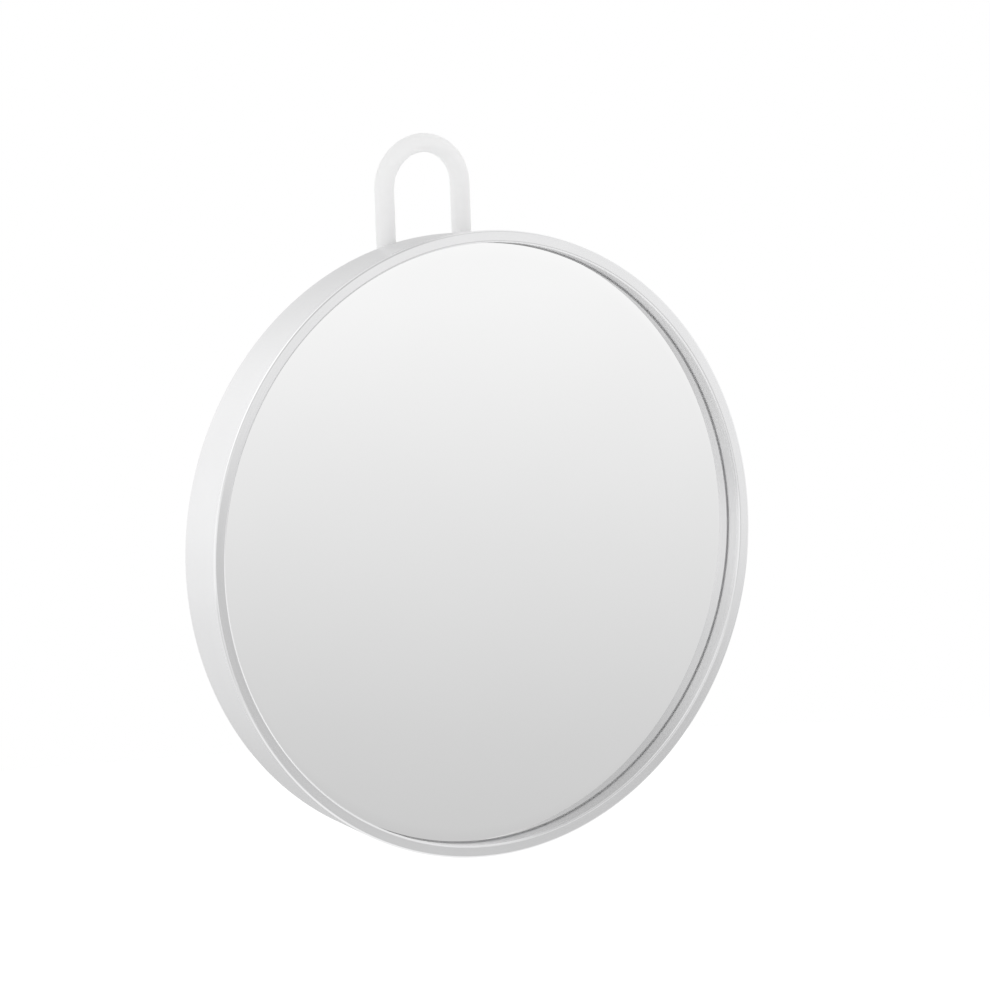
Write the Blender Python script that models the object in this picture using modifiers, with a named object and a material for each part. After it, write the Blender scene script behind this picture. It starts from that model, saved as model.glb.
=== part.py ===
"""Pocket magnifying mirror: a round concave glass in a tapered metal frame, hung by a soft silicone loop.

The row's origin is the hook's seat, at the inside top of the loop. +Z is up, the glass faces -Y and
+X is to the right of someone who looks at the glass. Every disc-shaped piece is turned about the
mirror's axis in a local frame whose +Z looks out of the glass, so a depth behind the front face is -Z.
"""

import math

import bmesh
import bpy
from mathutils import Matrix, Vector

mm = 0.001

# Metal frame: a tapered ring with a web inside that everything seats on
rim_radius = 45.0 * mm
rim_width = 1.8 * mm
rim_fillet = 0.4 * mm
lip_fillet = 0.35 * mm
frame_taper = 1.0 * mm
rear_wall = 1.2 * mm
rear_lip = 0.4 * mm
rear_fillet = 0.3 * mm
web_width = 7.2 * mm
web_thickness = 1.0 * mm
seat_gap = 0.3 * mm

# Concave glass, set back behind the front face with a narrow shadow gap round it
glass_recess = 2.95 * mm
glass_edge_gap = 0.3 * mm
glass_thickness = 1.5 * mm
glass_curve_radius = 750.0 * mm
glass_bevel = 0.2 * mm

# Rubber gasket and foam tape behind the glass
gasket_width = 1.7 * mm
foam_width = 5.4 * mm

# Moulded tray with its ribs and screw bosses
tray_thickness = 1.0 * mm
tray_opening_radius = 4.5 * mm
rib_thickness = 0.9 * mm
rib_drop = 0.2 * mm
boss_radius = 2.6 * mm
boss_inset = 5.0 * mm

# Back cover with a shallow pressed panel
cover_thickness = 1.2 * mm
cover_fillet = 0.4 * mm
panel_inset = 5.0 * mm
panel_depth = 0.35 * mm
panel_slope = 1.0 * mm

# Countersunk screws
screw_shank_radius = 1.0 * mm
screw_head_radius = 1.9 * mm
screw_length = 3.0 * mm
screw_point = 0.4 * mm
recess_arm = 1.1 * mm
recess_width = 0.5 * mm
recess_depth = 0.45 * mm

# Wall pads, which stand a little further back than the cord
pad_radius = 4.2 * mm
pad_lead = 0.3 * mm
pad_draft = 0.7 * mm
pad_fillet = 0.5 * mm
pad_inset = 9.5 * mm

# Silicone loop: an oval cord, deeper than it is wide
cord_width = 2.7 * mm
cord_depth = 3.2 * mm
strand_offset = 6.35 * mm
loop_clearance = 1.3 * mm
loop_reach = 5.7 * mm
flex_drop = 1.8 * mm
anchor_inset = 4.4 * mm
neck_radius = 1.15 * mm
collar_radius = 2.2 * mm
collar_thickness = 0.6 * mm
collar_fillet = 0.2 * mm
head_radius = 2.3 * mm
head_thickness = 1.3 * mm
head_rounding = 0.6 * mm
washer_radius = 3.0 * mm
washer_thickness = 0.3 * mm
window_clearance = 0.35 * mm

overrun = 2.0 * mm

# Fineness of the round shapes
frame_steps = 88
disc_steps = 64
small_steps = 20
arc_steps = 3
curve_steps = 4
loop_steps = 20
elbow_steps = 6
cord_sides = 16
weld_distance = 0.001 * mm
sharp_angle = math.radians(32)

# Patterns. A round cutter or union is turned by half a step, so that its corners miss its carrier's edges
rib_count = 8
screw_angles = (45, 135, 225, 315)
pad_sides = ("left", "right", "bottom")
pad_angles = (150, 30, 270)
ball_ring_angles = (78, 55, 30)
half_step = math.pi / small_steps

# Depths behind the front face, each worked out from the piece in front of it
bore_radius = rim_radius - rim_width
rear_radius = rim_radius - frame_taper
rear_bore_radius = rear_radius - rear_wall
web_inner_radius = bore_radius - web_width
glass_radius = bore_radius - glass_edge_gap


def glass_front(radius):
    """Depth of the glass's front at a radius: a spherical bowl, deepest on the axis."""
    edge_drop = math.sqrt(glass_curve_radius**2 - glass_radius**2)
    return glass_recess + math.sqrt(glass_curve_radius**2 - radius**2) - edge_drop


def glass_back(radius):
    return glass_front(radius) + glass_thickness


tray_front = glass_back(0) + seat_gap
tray_back = tray_front + tray_thickness
web_front = tray_back + seat_gap
web_back = web_front + web_thickness
cover_front = web_back + seat_gap
cover_back = cover_front + cover_thickness
frame_depth = cover_back + rear_lip
rib_top = cover_front - seat_gap
tray_radius = bore_radius - seat_gap
gasket_inner_radius = tray_radius - gasket_width
foam_radius = gasket_inner_radius - seat_gap
cover_radius = rear_bore_radius - seat_gap
screw_circle = web_inner_radius - boss_inset
panel_radius = screw_circle - panel_inset
pad_circle = cover_radius - pad_inset
rib_ring_radius = web_inner_radius - 2 * seat_gap
screw_tip = cover_back - screw_length
washer_back = cover_front - seat_gap
head_back = washer_back - washer_thickness - seat_gap
head_front = head_back - head_thickness
collar_front = cover_back + seat_gap
collar_back = collar_front + collar_thickness
loop_plane = frame_depth + loop_clearance + cord_depth / 2
pad_front = cover_back + seat_gap
pad_back = loop_plane + cord_depth / 2 + pad_lead

# Heights above the mirror's axis
arc_height = rim_radius + loop_reach
flex_height = rim_radius - flex_drop
anchor_height = math.sqrt((web_inner_radius - anchor_inset) ** 2 - strand_offset**2)
hook_height = arc_height + strand_offset - cord_width / 2
stub_height = flex_height - cord_depth / 2 - seat_gap
elbow_radius = loop_plane - collar_back


def clear_scene():
    for item in list(bpy.data.objects):
        bpy.data.objects.remove(item, do_unlink=True)


def new_collection(name, for_cutters=False):
    group = bpy.data.collections.new(name)
    bpy.context.scene.collection.children.link(group)
    group.hide_render = for_cutters
    return group


def material(name, colour, roughness, metallic=0.0):
    made = bpy.data.materials.new(name)
    made.use_nodes = True
    shader = made.node_tree.nodes["Principled BSDF"]
    shader.inputs["Base Color"].default_value = (*colour, 1)
    shader.inputs["Roughness"].default_value = roughness
    shader.inputs["Metallic"].default_value = metallic
    made.diffuse_color = (*colour, 1)
    return made


def place(name, mesh, group, parent=None, location=(0, 0, 0), angle=0.0, finish=None):
    """Puts a mesh in a collection, at a place in its parent's frame and turned about that frame's Z."""
    made = bpy.data.objects.new(name, mesh)
    group.objects.link(made)
    made.parent = parent
    made.location = location
    made.rotation_euler = (0, 0, angle)
    if finish:
        mesh.materials.append(finish)
    if group.hide_render:
        made.hide_render = True
        made.display_type = "WIRE"
    return made


def mesh_of(source):
    """The evaluated mesh of a curve or a modified object, welded, shaded smooth, and the source removed."""
    graph = bpy.context.evaluated_depsgraph_get()
    mesh = bpy.data.meshes.new_from_object(source.evaluated_get(graph))
    shape = bmesh.new()
    shape.from_mesh(mesh)
    bmesh.ops.remove_doubles(shape, verts=shape.verts, dist=weld_distance)
    bmesh.ops.recalc_face_normals(shape, faces=shape.faces)
    shape.to_mesh(mesh)
    shape.free()
    mesh.shade_smooth()
    mesh.set_sharp_from_angle(angle=sharp_angle)
    bpy.data.objects.remove(source, do_unlink=True)
    return mesh


def rounded(corners):
    """Points of an outline whose corners are (radius, depth, fillet): a fillet of 0 is a sharp corner."""
    points = []
    for index, (radius, depth, fillet) in enumerate(corners):
        corner = Vector((radius, depth))
        before = Vector(corners[index - 1][:2]) - corner
        after = Vector(corners[(index + 1) % len(corners)][:2]) - corner
        if fillet <= 0 or before.length == 0 or after.length == 0:
            points.append(corner)
            continue
        half = before.angle(after) / 2
        reach = min(fillet / math.tan(half), before.length / 2, after.length / 2)
        size = reach * math.tan(half)
        bisector = (before.normalized() + after.normalized()).normalized()
        centre = corner + bisector * (size / math.sin(half))
        start = corner + before.normalized() * reach - centre
        end = corner + after.normalized() * reach - centre
        sweep = start.angle_signed(end)
        for step in range(arc_steps + 1):
            turn = -sweep * step / arc_steps
            points.append(centre + Matrix.Rotation(turn, 2) @ start)
    return points


def turned_mesh(name, points, steps):
    """A solid of revolution about local Z from an outline in (radius, depth), outer side first."""
    mesh = bpy.data.meshes.new(name)
    corners = [(point[0], 0, -point[1]) for point in points]
    pairs = [(index, (index + 1) % len(corners)) for index in range(len(corners))]
    edges = [pair for pair in pairs if corners[pair[0]][0] > 0 or corners[pair[1]][0] > 0]
    mesh.from_pydata(corners, edges, [])
    profile = bpy.data.objects.new(name, mesh)
    bpy.context.scene.collection.objects.link(profile)
    screw = profile.modifiers.new("turn", "SCREW")
    screw.axis = "Z"
    screw.steps = steps
    screw.render_steps = steps
    screw.use_merge_vertices = True
    screw.merge_threshold = weld_distance
    screw.use_smooth_shade = True
    bpy.context.view_layer.update()
    return mesh_of(profile)


def plug_points(radius, front, back):
    """The outline of a plain round plug, from the axis out and back again."""
    return [(0, front), (radius, front), (radius, back), (0, back)]


def rib_mesh(name, inner, outer, front, back):
    """A straight radial rib from one radius to another, between two depths."""
    mesh = bpy.data.meshes.new(name)
    shape = bmesh.new()
    bmesh.ops.create_cube(shape, size=1)
    bmesh.ops.scale(shape, vec=(outer - inner, rib_thickness, back - front), verts=shape.verts)
    middle = ((inner + outer) / 2, 0, -(front + back) / 2)
    bmesh.ops.translate(shape, vec=middle, verts=shape.verts)
    shape.to_mesh(mesh)
    shape.free()
    return mesh


def combine(target, other, operation):
    change = target.modifiers.new(other.name, "BOOLEAN")
    change.operation = operation
    change.solver = "EXACT"
    change.object = other
    return change


def polar(radius, degrees):
    angle = math.radians(degrees)
    return (radius * math.cos(angle), radius * math.sin(angle), 0)


def make_frame_ring(group, axis, finish):
    """Tapered side wall, narrow flat front face, and the web that the tray and the cover clamp."""
    outline = rounded(
        [
            (rim_radius, 0, rim_fillet),
            (rear_radius, frame_depth, rear_fillet),
            (rear_bore_radius, frame_depth, rear_fillet),
            (rear_bore_radius, web_back, 0),
            (web_inner_radius, web_back, 0),
            (web_inner_radius, web_front, 0),
            (bore_radius, web_front, 0),
            (bore_radius, 0, lip_fillet),
        ]
    )
    return place("frame_ring", turned_mesh("frame_ring", outline, frame_steps), group, axis, finish=finish)


def make_mirror_glass(group, axis, finish):
    """A slumped disc of even thickness, hollow towards the user, with ground edges."""
    shares = [step / curve_steps for step in range(curve_steps + 1)]
    face_radius = glass_radius - glass_bevel
    front = [(face_radius * share, glass_front(face_radius * share)) for share in shares]
    back = [(face_radius * share, glass_back(face_radius * share)) for share in reversed(shares)]
    edge = [
        (glass_radius, glass_front(glass_radius) + glass_bevel),
        (glass_radius, glass_back(glass_radius) - glass_bevel),
    ]
    mesh = turned_mesh("mirror_glass", front + edge + back, disc_steps)
    return place("mirror_glass", mesh, group, axis, finish=finish)


def bedding_ring(name, outer, inner, group, axis, finish):
    """A flat-backed ring on the tray whose front follows the back of the glass."""
    radii = [inner + (outer - inner) * step / arc_steps for step in range(arc_steps + 1)]
    front = [(radius, glass_back(min(radius, glass_radius)) + seat_gap) for radius in radii]
    outline = front + [(outer, tray_front - seat_gap), (inner, tray_front - seat_gap)]
    return place(name, turned_mesh(name, outline, disc_steps), group, axis, finish=finish)


def make_inner_tray(group, cutters, axis, finish):
    """Moulded plate that carries the glass: a ring rib, a hub rib, radial ribs and four bosses behind it."""
    hub_radius = tray_opening_radius + rib_thickness
    ring_inner = rib_ring_radius - rib_thickness
    outline = [
        (tray_opening_radius, tray_front),
        (tray_radius, tray_front),
        (tray_radius, tray_back),
        (rib_ring_radius, tray_back),
        (rib_ring_radius, rib_top),
        (ring_inner, rib_top),
        (ring_inner, tray_back),
        (hub_radius, tray_back),
        (hub_radius, rib_top),
        (tray_opening_radius, rib_top),
    ]
    tray = place("inner_tray", turned_mesh("inner_tray", outline, disc_steps), group, axis, finish=finish)
    root = tray_back - tray_thickness / 2
    rib_start = tray_opening_radius + rib_thickness / 2
    rib_end = rib_ring_radius - rib_thickness / 2
    rib = rib_mesh("tray_rib", rib_start, rib_end, root, rib_top - rib_drop)
    for index in range(rib_count):
        combine(tray, place("tray_rib", rib, cutters, axis, angle=2 * math.pi * index / rib_count), "UNION")
    boss = turned_mesh("screw_boss", plug_points(boss_radius, root, rib_top), small_steps)
    pilot_radius = screw_shank_radius + seat_gap
    pilot_points = plug_points(pilot_radius, screw_tip - seat_gap, rib_top + overrun)
    pilot = turned_mesh("pilot_hole", pilot_points, small_steps)
    window_radius = washer_radius + window_clearance
    window_points = plug_points(window_radius, tray_front - overrun, rib_top + overrun)
    window = turned_mesh("anchor_window", window_points, small_steps)
    for degrees in screw_angles:
        spot = polar(screw_circle, degrees)
        combine(tray, place("screw_boss", boss, cutters, axis, spot), "UNION")
        combine(tray, place("pilot_hole", pilot, cutters, axis, spot, half_step), "DIFFERENCE")
    for side in (-1, 1):
        spot = (side * strand_offset, anchor_height, 0)
        combine(tray, place("anchor_window", window, cutters, axis, spot), "DIFFERENCE")
    return tray


def screw_cone(radius):
    """Depth at which a 45 degree countersink in the cover has closed to a radius."""
    return cover_back - (screw_head_radius - radius)


def make_back_cover(group, cutters, axis, finish):
    """Disc that closes the back: a pressed panel, four countersinks and two holes for the loop's ends."""
    panel_back = cover_back - panel_depth
    outline = rounded(
        [
            (0, cover_front, 0),
            (cover_radius, cover_front, 0),
            (cover_radius, cover_back, cover_fillet),
            (panel_radius + panel_slope, cover_back, panel_depth),
            (panel_radius, panel_back, panel_depth),
            (0, panel_back, 0),
        ]
    )
    cover = place("back_cover", turned_mesh("back_cover", outline, disc_steps), group, axis, finish=finish)
    hole_radius = screw_shank_radius + seat_gap
    cone_gap = seat_gap * math.sqrt(2)
    sink_points = [
        (0, cover_front - overrun),
        (hole_radius, cover_front - overrun),
        (hole_radius, screw_cone(hole_radius - cone_gap)),
        (screw_head_radius + cone_gap, cover_back),
        (screw_head_radius + cone_gap + overrun, cover_back + overrun),
        (0, cover_back + overrun),
    ]
    sink = turned_mesh("countersink", sink_points, small_steps)
    cord_points = plug_points(neck_radius + seat_gap, cover_front - overrun, cover_back + overrun)
    cord_hole = turned_mesh("cord_hole", cord_points, small_steps)
    for degrees in screw_angles:
        combine(cover, place("countersink", sink, cutters, axis, polar(screw_circle, degrees)), "DIFFERENCE")
    for side in (-1, 1):
        spot = (side * strand_offset, anchor_height, 0)
        combine(cover, place("cord_hole", cord_hole, cutters, axis, spot), "DIFFERENCE")
    return cover


def cross_mesh(name, arm, width, front, back):
    """A flat cross between two depths, as a filled 2D curve made solid."""
    half = width / 2
    quarter = [(arm, -half), (arm, half), (half, half)]
    outline = []
    for turn in range(4):
        spin = Matrix.Rotation(math.pi / 2 * turn, 2)
        outline += [spin @ Vector(point) for point in quarter]
    curve = bpy.data.curves.new(name, "CURVE")
    curve.dimensions = "2D"
    curve.fill_mode = "BOTH"
    curve.extrude = (back - front) / 2
    spline = curve.splines.new("POLY")
    spline.points.add(len(outline) - 1)
    for point, corner in zip(spline.points, outline):
        point.co = (corner.x, corner.y, 0, 1)
    spline.use_cyclic_u = True
    drawn = bpy.data.objects.new(name, curve)
    bpy.context.scene.collection.objects.link(drawn)
    bpy.context.view_layer.update()
    mesh = mesh_of(drawn)
    mesh.transform(Matrix.Translation((0, 0, -(front + back) / 2)))
    return mesh


def make_cover_screws(group, cutters, axis, finish):
    """Short countersunk screws that pull the tray and the cover together on the frame's web."""
    outline = [
        (0, screw_tip),
        (screw_shank_radius - screw_point, screw_tip),
        (screw_shank_radius, screw_tip + screw_point),
        (screw_shank_radius, screw_cone(screw_shank_radius)),
        (screw_head_radius, cover_back),
        (0, cover_back),
    ]
    body = turned_mesh("cover_screw", outline, small_steps)
    recess_floor = cover_back - recess_depth
    recess = cross_mesh("cross_recess", recess_arm, recess_width, recess_floor, cover_back + overrun)
    for index, degrees in enumerate(screw_angles, 1):
        spot = polar(screw_circle, degrees)
        screw = place(f"cover_screw_{index}", body.copy(), group, axis, spot, finish=finish)
        combine(screw, place("cross_recess", recess, cutters, axis, spot), "DIFFERENCE")


def make_wall_pads(group, axis, finish):
    """Soft pads that keep the metal off the wall, each with a flat face to rest on."""
    outline = rounded(
        [
            (0, pad_front, 0),
            (pad_radius, pad_front, 0),
            (pad_radius - pad_draft, pad_back, pad_fillet),
            (0, pad_back, 0),
        ]
    )
    body = turned_mesh("wall_pad", outline, small_steps)
    for side, degrees in zip(pad_sides, pad_angles):
        place(f"wall_pad_{side}", body.copy(), group, axis, polar(pad_circle, degrees), finish=finish)


def cord_section(cutters):
    """The oval section that every stretch of cord is swept with."""
    curve = bpy.data.curves.new("cord_section", "CURVE")
    curve.dimensions = "2D"
    spline = curve.splines.new("POLY")
    spline.points.add(cord_sides - 1)
    for index, point in enumerate(spline.points):
        angle = 2 * math.pi * index / cord_sides
        point.co = (cord_width / 2 * math.cos(angle), cord_depth / 2 * math.sin(angle), 0, 1)
    spline.use_cyclic_u = True
    section = bpy.data.objects.new("cord_section", curve)
    cutters.objects.link(section)
    section.hide_render = True
    section.display_type = "WIRE"
    return section


def cord_mesh(name, points, section, shares=None):
    """Cord swept along points in the mirror's frame. The shares taper its section, for a rounded end."""
    curve = bpy.data.curves.new(name, "CURVE")
    curve.dimensions = "3D"
    curve.twist_mode = "MINIMUM"
    curve.bevel_mode = "OBJECT"
    curve.bevel_object = section
    curve.use_fill_caps = True
    spline = curve.splines.new("POLY")
    spline.points.add(len(points) - 1)
    for index, point in enumerate(spline.points):
        point.co = (*points[index], 1)
        point.radius = shares[index] if shares else 1
    drawn = bpy.data.objects.new(name, curve)
    bpy.context.scene.collection.objects.link(drawn)
    bpy.context.view_layer.update()
    return mesh_of(drawn)


def loop_path():
    """Up one strand, round the half circle and down the other, with the rings of a ball at each end."""
    ball = cord_depth / 2
    ring_angles = [math.radians(degrees) for degrees in ball_ring_angles]
    heights = [-ball * math.sin(angle) for angle in ring_angles] + [0]
    shares = [math.cos(angle) for angle in ring_angles] + [1]
    rise = arc_height - flex_height
    strand = [(-strand_offset, height, 0) for height in heights]
    turns = [math.pi * (1 - step / loop_steps) for step in range(loop_steps + 1)]
    arc = [(strand_offset * math.cos(turn), rise + strand_offset * math.sin(turn), 0) for turn in turns]
    other = [(strand_offset, height, 0) for height in reversed(heights)]
    return strand + arc + other, shares + [1] * len(arc) + shares[::-1]


def make_hanging_loop(group, section, axis, finish):
    """The free part of the loop, hinged where the soft cord flexes behind the frame's top edge."""
    hinge = bpy.data.objects.new("loop_hinge", None)
    group.objects.link(hinge)
    hinge.parent = axis
    hinge.location = (0, flex_height, -loop_plane)
    points, shares = loop_path()
    mesh = cord_mesh("hanging_loop", points, section, shares)
    return place("hanging_loop", mesh, group, hinge, finish=finish)


def make_loop_anchors(group, cutters, section, axis, finish):
    """Each end of the cord: an elbow behind the cover, a collar, a neck and a head that locks inside it."""
    plug = rounded(
        [
            (0, head_front, 0),
            (head_radius, head_front, head_rounding),
            (head_radius, head_back, 0),
            (neck_radius, head_back, 0),
            (neck_radius, collar_front, 0),
            (collar_radius, collar_front, 0),
            (collar_radius, collar_back, collar_fillet),
            (0, collar_back, 0),
        ]
    )
    path = [(0, 0, -(collar_front + collar_back) / 2)]
    for step in range(elbow_steps + 1):
        turn = math.pi / 2 * step / elbow_steps
        rise = elbow_radius * (1 - math.cos(turn))
        path.append((0, rise, -collar_back - elbow_radius * math.sin(turn)))
    path.append((0, stub_height - anchor_height, -loop_plane))
    elbow = cord_mesh("anchor_elbow", path, section)
    body = turned_mesh("loop_anchor", plug, small_steps)
    for name, side in (("left", -1), ("right", 1)):
        spot = (side * strand_offset, anchor_height, 0)
        anchor = place(f"loop_anchor_{name}", body.copy(), group, axis, spot, half_step, finish)
        combine(anchor, place("anchor_elbow", elbow, cutters, axis, spot), "UNION")


def make_loop_washers(group, axis, finish):
    """Thin washers that spread the pull of the loop's heads over the inside of the cover."""
    hole = neck_radius + seat_gap
    front = washer_back - washer_thickness
    outline = [(hole, front), (washer_radius, front), (washer_radius, washer_back), (hole, washer_back)]
    body = turned_mesh("loop_washer", outline, small_steps)
    for name, side in (("left", -1), ("right", 1)):
        spot = (side * strand_offset, anchor_height, 0)
        place(f"loop_washer_{name}", body.copy(), group, axis, spot, finish=finish)


def main():
    clear_scene()
    group = new_collection("pocket_magnifying_mirror")
    cutters = new_collection("cutters", for_cutters=True)
    metal = material("satin_metal", (0.72, 0.72, 0.73), 0.38, 1.0)
    silvered = material("silvered_glass", (0.86, 0.87, 0.88), 0.03, 1.0)
    rubber = material("gasket_rubber", (0.36, 0.36, 0.365), 0.7)
    foam = material("foam_tape", (0.7, 0.7, 0.7), 0.9)
    moulding = material("tray_plastic", (0.62, 0.62, 0.62), 0.55)
    cover_paint = material("cover_metal", (0.7, 0.7, 0.71), 0.45, 1.0)
    steel = material("screw_steel", (0.6, 0.6, 0.6), 0.3, 1.0)
    silicone = material("milky_silicone", (0.84, 0.84, 0.84), 0.5)
    clear_pad = material("pad_silicone", (0.75, 0.75, 0.75), 0.4)

    axis = bpy.data.objects.new("mirror_axis", None)
    group.objects.link(axis)
    axis.location = (0, -loop_plane, -hook_height)
    axis.rotation_euler = (math.pi / 2, 0, 0)

    section = cord_section(cutters)
    make_frame_ring(group, axis, metal)
    make_mirror_glass(group, axis, silvered)
    bedding_ring("glass_gasket", tray_radius, gasket_inner_radius, group, axis, rubber)
    bedding_ring("foam_tape_ring", foam_radius, foam_radius - foam_width, group, axis, foam)
    make_inner_tray(group, cutters, axis, moulding)
    make_back_cover(group, cutters, axis, cover_paint)
    make_cover_screws(group, cutters, axis, steel)
    make_wall_pads(group, axis, clear_pad)
    make_hanging_loop(group, section, axis, silicone)
    make_loop_anchors(group, cutters, section, axis, silicone)
    make_loop_washers(group, axis, steel)


main()
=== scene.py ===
# %% [markdown]
# # A pocket magnifying mirror that hangs from a silicone loop
#
# A round concave glass sits deep in a slim tapered ring of satin metal. A milky silicone cord leaves
# the back of the mirror, rises behind the top edge and turns over into a loop for a hook.
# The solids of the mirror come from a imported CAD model. Here every surface that can be seen is worked
# out again more finely, given its finish, and lit as in a small photo studio.

# %% Load the fixed frame
import math

import bpy
import numpy as np
from mathutils import Matrix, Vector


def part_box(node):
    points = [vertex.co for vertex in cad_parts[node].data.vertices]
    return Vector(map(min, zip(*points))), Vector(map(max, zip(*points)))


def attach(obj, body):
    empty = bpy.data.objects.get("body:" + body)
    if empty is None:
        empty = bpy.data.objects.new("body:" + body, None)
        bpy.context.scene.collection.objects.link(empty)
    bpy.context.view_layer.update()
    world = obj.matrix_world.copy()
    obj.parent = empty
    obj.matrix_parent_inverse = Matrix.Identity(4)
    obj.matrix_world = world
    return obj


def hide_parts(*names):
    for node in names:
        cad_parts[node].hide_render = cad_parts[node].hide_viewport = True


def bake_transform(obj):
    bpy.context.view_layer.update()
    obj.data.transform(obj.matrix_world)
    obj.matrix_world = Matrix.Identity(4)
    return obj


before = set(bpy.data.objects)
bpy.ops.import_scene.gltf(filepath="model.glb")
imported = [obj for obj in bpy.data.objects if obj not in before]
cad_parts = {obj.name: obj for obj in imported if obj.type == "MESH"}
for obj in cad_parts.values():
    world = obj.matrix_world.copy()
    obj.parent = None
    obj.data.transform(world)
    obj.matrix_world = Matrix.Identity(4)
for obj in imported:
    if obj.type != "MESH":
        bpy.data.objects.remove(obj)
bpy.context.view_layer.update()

# %% [markdown]
# ## Where things are
#
# A mirror is a lathe job, so almost every piece is a ring or a disc about one axis. The axis is found
# from the metal ring itself: its middle in height, and its front face in depth. All drawings below
# speak of a radius from the axis and a depth behind the front face, in millimetres.

# %% The mirror's axis
mm = 0.001
ring_low, ring_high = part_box("frame_ring")
front_y = ring_low.y
axis_z = (ring_low.z + ring_high.z) / 2
axis_point = (0, front_y, axis_z)
print("front face at y", round(front_y / mm, 3), "axis at z", round(axis_z / mm, 3))


def node_reach(name):
    """A node's lowest and highest (x, depth, height), in millimetres from the axis and the front face."""
    low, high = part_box(name)
    return (np.array(low) - axis_point) / mm, (np.array(high) - axis_point) / mm


for name in ("mirror_glass", "back_cover", "hanging_loop"):
    low, high = node_reach(name)
    print(name, "from", np.round(low, 2), "to", np.round(high, 2))


# %% [markdown]
# ## Surfaces on a grid
#
# A lathe, a bent cord and a pressed sheet all come down to the same thing: a function of two
# parameters, worked out on a grid of points. One helper turns such a grid into a mesh, with all faces
# built at once. It could be done with Blender's Screw modifier too, but a grid keeps full control
# of where the rows of points lie, which is what makes a small rounding catch the light evenly.


# %% From a grid of points to a mesh
def grid_faces(rows, columns, wrap_rows=False):
    """Corner numbers of the quads of a grid whose columns close into a ring, and its rows if asked."""
    last = rows if wrap_rows else rows - 1
    i, j = np.meshgrid(np.arange(last), np.arange(columns), indexing="ij")
    here, below = i * columns, (i + 1) % rows * columns
    right = (j + 1) % columns
    corners = np.stack([here + j, below + j, below + right, here + right], -1)
    return corners.reshape(-1, 4)


def mesh_from_arrays(name, points, quads, weld=0.0005 * mm, sharp_degrees=40):
    """A mesh with welded points and no faces without area, shaded smooth up to an angle."""
    keys = np.round(points / weld).astype(np.int64)
    _, first, number = np.unique(keys, axis=0, return_index=True, return_inverse=True)
    quads = number.reshape(-1)[quads]
    kept = points[first]
    distinct = quads != np.roll(quads, -1, axis=1)
    full = quads[distinct.all(axis=1)]
    three = distinct.sum(axis=1) == 3
    thin = quads[three][distinct[three]].reshape(-1, 3)
    loops = np.concatenate([full.ravel(), thin.ravel()])
    sizes = np.concatenate([np.full(len(full), 4), np.full(len(thin), 3)])
    starts = np.concatenate([[0], np.cumsum(sizes)[:-1]])
    mesh = bpy.data.meshes.new(name)
    mesh.vertices.add(len(kept))
    mesh.vertices.foreach_set("co", kept.ravel())
    mesh.loops.add(len(loops))
    mesh.loops.foreach_set("vertex_index", loops.astype(np.int32))
    mesh.polygons.add(len(sizes))
    mesh.polygons.foreach_set("loop_start", starts.astype(np.int32))
    mesh.update(calc_edges=True)
    mesh.validate()
    mesh.shade_smooth()
    mesh.set_sharp_from_angle(angle=math.radians(sharp_degrees))
    return mesh


def show(name, mesh, *finishes):
    """Puts a finished mesh in the scene, at the origin, with its finishes."""
    piece = bpy.data.objects.new(name, mesh)
    bpy.context.scene.collection.objects.link(piece)
    for finish in finishes:
        mesh.materials.append(finish)
    print(name, len(mesh.vertices), "points", len(mesh.polygons), "faces")
    return piece


# %% [markdown]
# ## Turning on a lathe
#
# A turned piece is drawn as half of its section: a closed outline of (radius, depth). The sharp
# corners of that drawing are rounded first, as the file or the tool's nose rounds them on the real
# piece. A Bevel modifier could do it, but it would round every edge alike, and here each corner has a
# radius of its own. Then the outline is carried round the axis.


# %% A profile turned on a lathe
def rounded_profile(corners, arc_points=9, hold=0.03):
    """Outline through corners (radius, depth, fillet): an arc that touches both sides cuts each corner.

    The arc's centre lies on the corner's bisector, at fillet / sin(half angle) from the corner. One more
    point on each side, a hair beyond the arc, keeps the flat faces flat in the shading.
    """
    outline = []
    for index, (radius, depth, fillet) in enumerate(corners):
        corner = np.array([radius, depth], float)
        if fillet <= 0:
            outline.append(corner[None])
            continue
        before = np.array(corners[index - 1][:2], float) - corner
        after = np.array(corners[(index + 1) % len(corners)][:2], float) - corner
        before_unit, after_unit = before / np.linalg.norm(before), after / np.linalg.norm(after)
        half = math.acos(np.clip(before_unit @ after_unit, -1, 1)) / 2
        bisector = (before_unit + after_unit) / np.linalg.norm(before_unit + after_unit)
        centre = corner + bisector * fillet / math.sin(half)
        start = corner + before_unit * fillet / math.tan(half) - centre
        end = corner + after_unit * fillet / math.tan(half) - centre
        sweep = math.atan2(start[0] * end[1] - start[1] * end[0], start @ end)
        turn = np.linspace(0, sweep, arc_points)[:, None]
        arc = centre + start * np.cos(turn) + np.array([-start[1], start[0]]) * np.sin(turn)
        outline += [arc[:1] + before_unit * hold, arc, arc[-1:] + after_unit * hold]
    return np.concatenate(outline)


def lathe_grid(outline, steps):
    """Surface of revolution: x and height are radius times cosine and sine of the turn, y is the depth."""
    outline = np.asarray(outline, float)
    turn = np.arange(steps) * 2 * math.pi / steps
    radius, depth = outline[:, :1], outline[:, 1:]
    return np.stack([radius * np.cos(turn), depth + 0 * turn, radius * np.sin(turn)], -1)


def grid_mesh(name, grid, centre=(0, 0), closed=True):
    """A grid of (x, depth, height) in millimetres, set at (x, height above the mirror's axis)."""
    rows, columns = grid.shape[:2]
    corner = (centre[0], front_y / mm, centre[1] + axis_z / mm)
    return mesh_from_arrays(name, (grid + corner).reshape(-1, 3) * mm, grid_faces(rows, columns, closed))


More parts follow.
